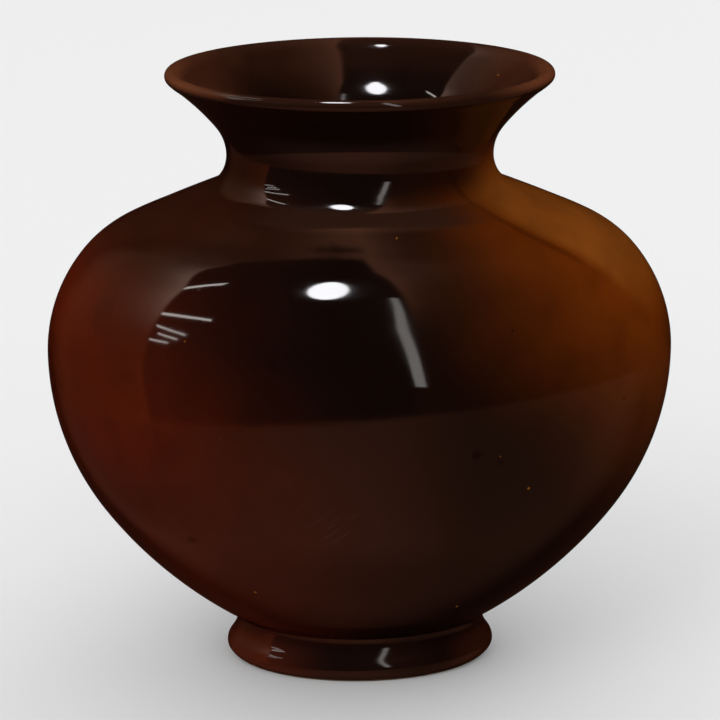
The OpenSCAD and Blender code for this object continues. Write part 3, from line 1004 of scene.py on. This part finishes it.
def mirrored(name, points, faces, glows):
    """A glowing surface that only mirror rays see, with a colour of light at each point."""
    mesh = bpy.data.meshes.new(name)
    mesh.from_pydata(points, [], faces)
    glow = mesh.color_attributes.new("glow", "FLOAT_COLOR", "POINT")
    glow.data.foreach_set("color", np.array([(*g, 1.0) for g in glows], dtype=np.float32).ravel())
    mesh.materials.append(mirror_light(name))
    surface = bpy.data.objects.new(name, mesh)
    scene.collection.objects.link(surface)
    surface.visible_camera = False
    surface.visible_diffuse = False
    surface.visible_transmission = False
    surface.visible_volume_scatter = False
    surface.visible_shadow = False
    surface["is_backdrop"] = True
    print(f"{name}: {len(points)} points")


print(f"the mirrored surroundings are centred {SHELL_CENTRE.z / MM:.0f} mm above the table")

# %% Edges of the opening
LEFT_WAY = Vector((-0.545, 0.839, 0.0))
LEFT_LEAN, LEAN_RISE = 0.16, (0.55, 0.93)
RIGHT_WAY = Vector((0.974, 0.225, 0.0))
ROOF_WAY = Vector((0.22, 1.0, 0.132))
TABLE_EDGE, TABLE_TIP = -0.395, 0.093


def ease(value, start, end):
    """A smooth change from 0 to 1 as the value goes from start to end."""
    t = min(1.0, max(0.0, (value - start) / (end - start)))
    return t * t * (3 - 2 * t)


def past_hems(way):
    """How far a direction lies past the left, right, upper and table edges of the opening."""
    past_left = way.dot(LEFT_WAY) - LEFT_LEAN * ease(way.z, *LEAN_RISE)
    past_table = TABLE_EDGE + TABLE_TIP * way.x - way.z
    return past_left, way.dot(RIGHT_WAY), way.dot(ROOF_WAY), past_table


def near_hem(past, reach):
    """How near the hem of the opening a direction lies, from 1 on the hem to 0 far out on the cloth."""
    return math.exp(-max(past, 0.0) / reach)


print(f"straight ahead is {-max(past_hems(toward(0, 0))):.2f} inside the nearest hem")

# %% Light of the cloth on the left
LEFT_LOW = Vector((0.15, 0.045, 0.022))
LEFT_WAIST = Vector((0.22, 0.11, 0.06))
LEFT_HIGH = Vector((0.20, 0.08, 0.04))
LEFT_HEM = Vector((0.35, 0.055, 0.015))
LEFT_SHEEN = Vector((1.90, 1.20, 0.95))
LEFT_WAIST_RISE, LEFT_HIGH_RISE = (-0.1, 0.4), (0.55, 0.9)
LEFT_HEM_REACH, LEFT_HEM_DROP = 0.25, (0.4, 0.1)
LEFT_SHEEN_REACH = 0.14
LEFT_SHEEN_RISE, LEFT_SHEEN_DROP = (0.1, 0.55), (0.96, 0.74)


def left_cloth(way, past):
    """The cloth on the left, with a red glow low on its hem and a pale sheen higher up."""
    glow = LEFT_LOW.lerp(LEFT_WAIST, ease(way.z, *LEFT_WAIST_RISE))
    glow = glow.lerp(LEFT_HIGH, ease(way.z, *LEFT_HIGH_RISE))
    glow = glow + LEFT_HEM * near_hem(past, LEFT_HEM_REACH) * ease(way.z, *LEFT_HEM_DROP)
    between = ease(way.z, *LEFT_SHEEN_RISE) * ease(way.z, *LEFT_SHEEN_DROP)
    return glow + LEFT_SHEEN * near_hem(past, LEFT_SHEEN_REACH) * between


print(f"the sheen on the left reaches {LEFT_SHEEN_REACH} out from the hem")

# %% Light of the cloth on the right and overhead
RIGHT_LOW = Vector((0.08, 0.03, 0.015))
RIGHT_HIGH = Vector((0.20, 0.07, 0.03))
RIGHT_SHEEN = Vector((0.70, 0.26, 0.14))
RIGHT_RISE, RIGHT_END = (0.0, 0.6), (0.8, 0.3)
RIGHT_SHEEN_REACH, RIGHT_SHEEN_RISE = 0.06, (0.2, 0.7)
ROOF_SHEEN = Vector((0.26, 0.11, 0.085))
ROOF_REACH, ROOF_RISE = 0.05, (0.6, 0.9)
ROOF_LEFT, ROOF_RIGHT = (-0.25, 0.0), (0.40, 0.12)


def right_cloth(way, past):
    """The cloth on the right, with a narrow sheen on its hem, which fades out to the side."""
    glow = RIGHT_LOW.lerp(RIGHT_HIGH, ease(way.z, *RIGHT_RISE))
    glow = glow + RIGHT_SHEEN * near_hem(past, RIGHT_SHEEN_REACH) * ease(way.z, *RIGHT_SHEEN_RISE)
    return glow * ease(way.x, *RIGHT_END)


def roof_sheen(way, past):
    """The faint sheen on the hem over the opening."""
    over = ease(way.x, *ROOF_LEFT) * ease(way.x, *ROOF_RIGHT) * ease(way.z, *ROOF_RISE)
    return ROOF_SHEEN * near_hem(past, ROOF_REACH) * over


print(f"the sheen on the right reaches {RIGHT_SHEEN_REACH} out from the hem")

# %% Light of the table
TABLE_LEFT = Vector((0.12, 0.04, 0.028))
TABLE_MIDDLE = Vector((0.38, 0.13, 0.08))
TABLE_RIGHT = Vector((0.17, 0.067, 0.04))
TABLE_LEFT_CHANGE, TABLE_RIGHT_CHANGE = (-0.8, -0.1), (0.05, 0.45)
TABLE_BELOW, TABLE_SHADE = (0.86, 1.0), 0.55


def table_light(way):
    """The table round the pot, brightest in the middle and darker straight down."""
    glow = TABLE_LEFT.lerp(TABLE_MIDDLE, ease(way.x, *TABLE_LEFT_CHANGE))
    glow = glow.lerp(TABLE_RIGHT, ease(way.x, *TABLE_RIGHT_CHANGE))
    return glow * (1 - TABLE_SHADE * ease(-way.z, *TABLE_BELOW))


print(f"straight down, the table keeps {1 - TABLE_SHADE:.0%} of its light")

# %% Light of the whole tent
ROOM = Vector((0.03, 0.022, 0.02))
HEM = 0.012
CLOTH_CHANGE = (-0.3, 0.15)
TABLE_HEM = (-0.01, 0.02)
BESIDE_SHIFT, BESIDE_CHANGE = 0.45, (-0.3, -0.7)
BEHIND_SHADE, BEHIND_CHANGE = 0.93, (-0.12, 0.32)


def tent_glow(way):
    """The light that comes from one direction inside the tent, which is dark behind the pot."""
    hems = past_hems(way)
    past_left, past_right, past_roof, past_table = hems
    cloth = left_cloth(way, past_left)
    cloth = cloth.lerp(right_cloth(way, past_right), ease(way.x, *CLOTH_CHANGE))
    cloth = cloth + roof_sheen(way, past_roof)
    cloth = cloth.lerp(table_light(way), ease(past_table, *TABLE_HEM))
    beside = BESIDE_SHIFT * ease(way.x, *BESIDE_CHANGE)
    cloth = cloth * (1 - BEHIND_SHADE * ease(way.y - beside, *BEHIND_CHANGE))
    return ROOM.lerp(cloth, ease(max(hems), -HEM, HEM))


print(f"the room in the opening glows at {ROOM.x:.2f}")

# %% Shell of the tent
SHELL_RADIUS = 6.0
SHELL_STEP = 1.0

rows = [-90 + SHELL_STEP * i for i in range(int(180 / SHELL_STEP) + 1)]
columns = [SHELL_STEP * i for i in range(int(360 / SHELL_STEP))]
ways = [toward(az, el) for el in rows for az in columns]
span = len(columns)
shell_faces = [
    (row * span + i, row * span + (i + 1) % span, (row + 1) * span + (i + 1) % span, (row + 1) * span + i)
    for row in range(len(rows) - 1)
    for i in range(span)
]
shell_points = [SHELL_CENTRE + way * SHELL_RADIUS for way in ways]
mirrored("mirrored_tent", shell_points, shell_faces, [tent_glow(way) for way in ways])

# %% Lamp
CARD_DISTANCE = 5.5
LAMP_WAY = (-9, 47.5)
LAMP_WIDE, LAMP_TALL = 4.3, 10.5
LAMP_SIDES = 32
LAMP_GLOW = (24.0, 24.0, 25.0)

lamp_turns = [2 * math.pi * i / LAMP_SIDES for i in range(LAMP_SIDES)]
lamp_wide = LAMP_WIDE / math.cos(math.radians(LAMP_WAY[1]))
lamp_ways = [
    (LAMP_WAY[0] + lamp_wide * math.cos(t), LAMP_WAY[1] + LAMP_TALL * math.sin(t))
    for t in lamp_turns
]
lamp_points = [SHELL_CENTRE + toward(*way) * CARD_DISTANCE for way in lamp_ways]
mirrored("mirrored_lamp", lamp_points, [tuple(range(LAMP_SIDES))], [LAMP_GLOW] * LAMP_SIDES)

# %% Window and bright bars
WINDOW_EDGES = [((9.2, 38), (11.0, 37.5)), ((9.1, 15.7), (11.8, 15.3)), ((12.6, -10.3), (15.2, -10.7))]
WINDOW_GLOW = (3.0, 2.8, 2.7)
BARS = [
    {"start": (-57.5, 38), "end": (-46, 48), "thick": 3.2},
    {"start": (-56.6, 19.6), "end": (-38, 19.2), "thick": 1.3},
    {"start": (-55.9, 13.2), "end": (-44, 10.3), "thick": 0.9},
    {"start": (-54.1, 9.5), "end": (-46.2, 7.7), "thick": 0.8},
    {"start": (-56.6, 5.9), "end": (-49, 5.5), "thick": 0.8},
]
BAR_GLOW = (8.0, 7.6, 7.2)


def ribbon(name, pairs, glow):
    """A ribbon between two edges, each given as directions out from the pot."""
    points = [SHELL_CENTRE + toward(*way) * CARD_DISTANCE for pair in pairs for way in pair]
    faces = [(2 * i, 2 * i + 1, 2 * i + 3, 2 * i + 2) for i in range(len(pairs) - 1)]
    mirrored(name, points, faces, [glow] * len(points))


ribbon("mirrored_window", WINDOW_EDGES, WINDOW_GLOW)
for k, bar in enumerate(BARS):
    half = bar["thick"] / 2
    pairs = [((az, el - half), (az, el + half)) for az, el in (bar["start"], bar["end"])]
    ribbon(f"mirrored_bar_{k}", pairs, BAR_GLOW)

# %% [markdown]
# ## Size and finish
# The looks should not change the size of the part.
# So the box of the CAD model is kept beside the box of the looks.
# The hand's touch moves a surface by less than a millimetre, and the two boxes should agree to that.

# %% Measure the box of the looks
visual_low, visual_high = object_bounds()
low_corner = [round(v / MM, 2) for v in visual_low]
high_corner = [round(v / MM, 2) for v in visual_high]
print(f"visual box {low_corner} to {high_corner} mm")
